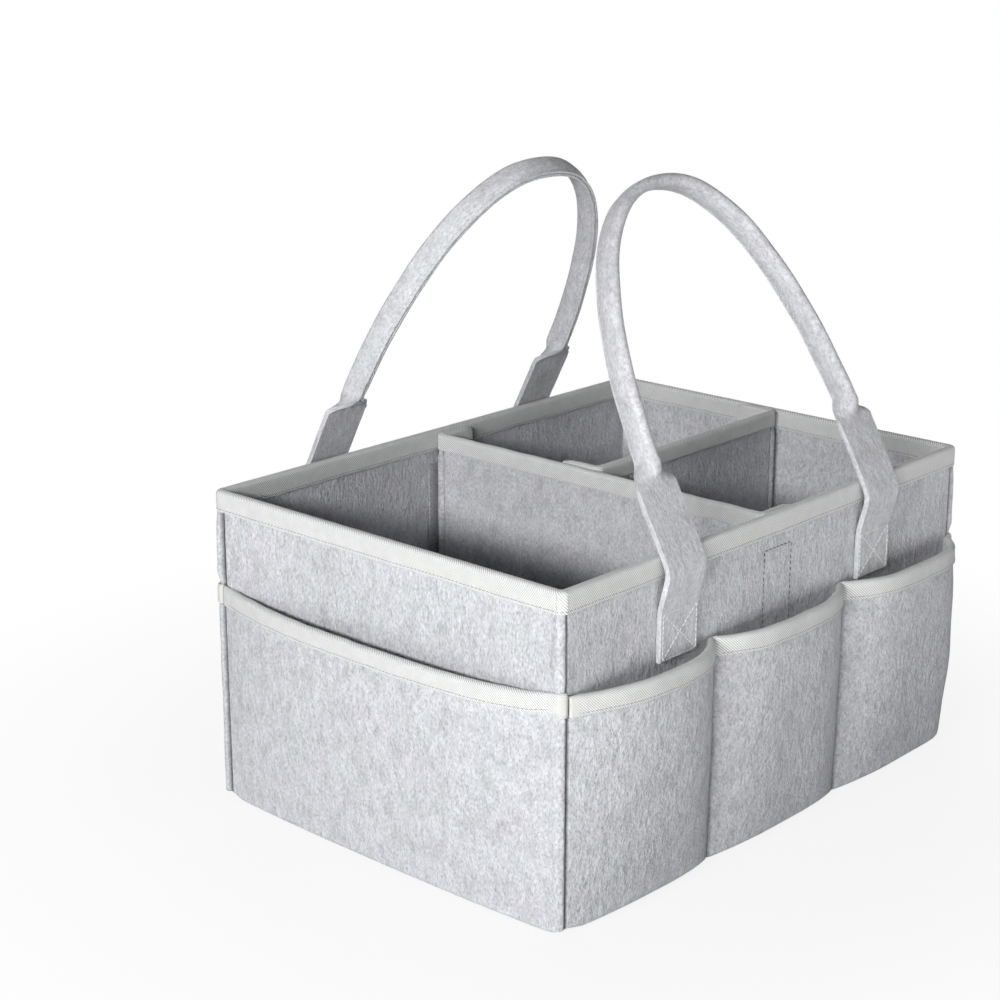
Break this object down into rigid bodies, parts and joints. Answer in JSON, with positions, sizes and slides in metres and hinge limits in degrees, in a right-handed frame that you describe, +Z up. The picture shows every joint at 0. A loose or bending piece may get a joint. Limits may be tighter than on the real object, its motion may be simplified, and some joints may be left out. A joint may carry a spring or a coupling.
{
  "type": "diaper caddy",
  "caption": "Open rectangular felt caddy with bound edges, outside pockets, lift-out dividers that form compartments, and arched strap handles that tilt.",
  "frame": {"origin": "middle of the underside, on the surface that the caddy stands on", "axes": "+X along the long side towards the end with the split compartment, +Y from the front long wall to the back one, +Z up"},
  "size_m": [0.3824, 0.2864, 0.35],
  "materials": {
    "felt": "heathered needle felt, matt",
    "tape": "twill binding tape",
    "strip": "woven hook-and-loop strip",
    "board": "smooth stiffener board"
  },
  "bodies": {
    "box": {"base_panel": "felt", "base_board": "board", "floor_lining": "felt", "front_wall": "felt", "back_wall": "felt", "left_end_wall": "felt", "right_end_wall": "felt", "rim_binding": "tape", "front_pocket": "felt", "front_pocket_binding": "tape", "back_pocket": "felt", "back_pocket_binding": "tape", "left_end_pocket": "felt", "left_end_pocket_binding": "tape", "right_end_pocket": "felt", "right_end_pocket_binding": "tape", "front_left_tab": "felt", "front_right_tab": "felt", "back_left_tab": "felt", "back_right_tab": "felt", "front_wall_hook_strip": "strip", "back_wall_hook_strip": "strip", "right_wall_hook_strip": "strip"},
    "front_handle": {"front_handle_strap": "felt"},
    "back_handle": {"back_handle_strap": "felt"},
    "cross_divider": {"cross_divider": "felt", "cross_divider_binding": "tape", "cross_divider_front_loop_strip": "strip", "cross_divider_back_loop_strip": "strip", "cross_divider_hook_strip": "strip"},
    "long_divider": {"long_divider": "felt", "long_divider_binding": "tape", "long_divider_left_loop_strip": "strip", "long_divider_right_loop_strip": "strip"}
  },
  "joints": [
    {"name": "front_handle_tilt", "type": "hinge", "parent": "box", "child": "front_handle", "pos_m": [0, -0.12929, 0.18164], "axis": [-1, 0, 0], "range_deg": [-170, 12]},
    {"name": "back_handle_tilt", "type": "hinge", "parent": "box", "child": "back_handle", "pos_m": [0, 0.12929, 0.18164], "axis": [1, 0, 0], "range_deg": [-170, 12]},
    {"name": "cross_divider_lift", "type": "slide", "parent": "box", "child": "cross_divider", "axis": [0, 0, 1], "range_m": [0, 0.125]},
    {"name": "long_divider_lift", "type": "slide", "parent": "box", "child": "long_divider", "axis": [0, 0, 1], "range_m": [0, 0.125]}
  ]
}
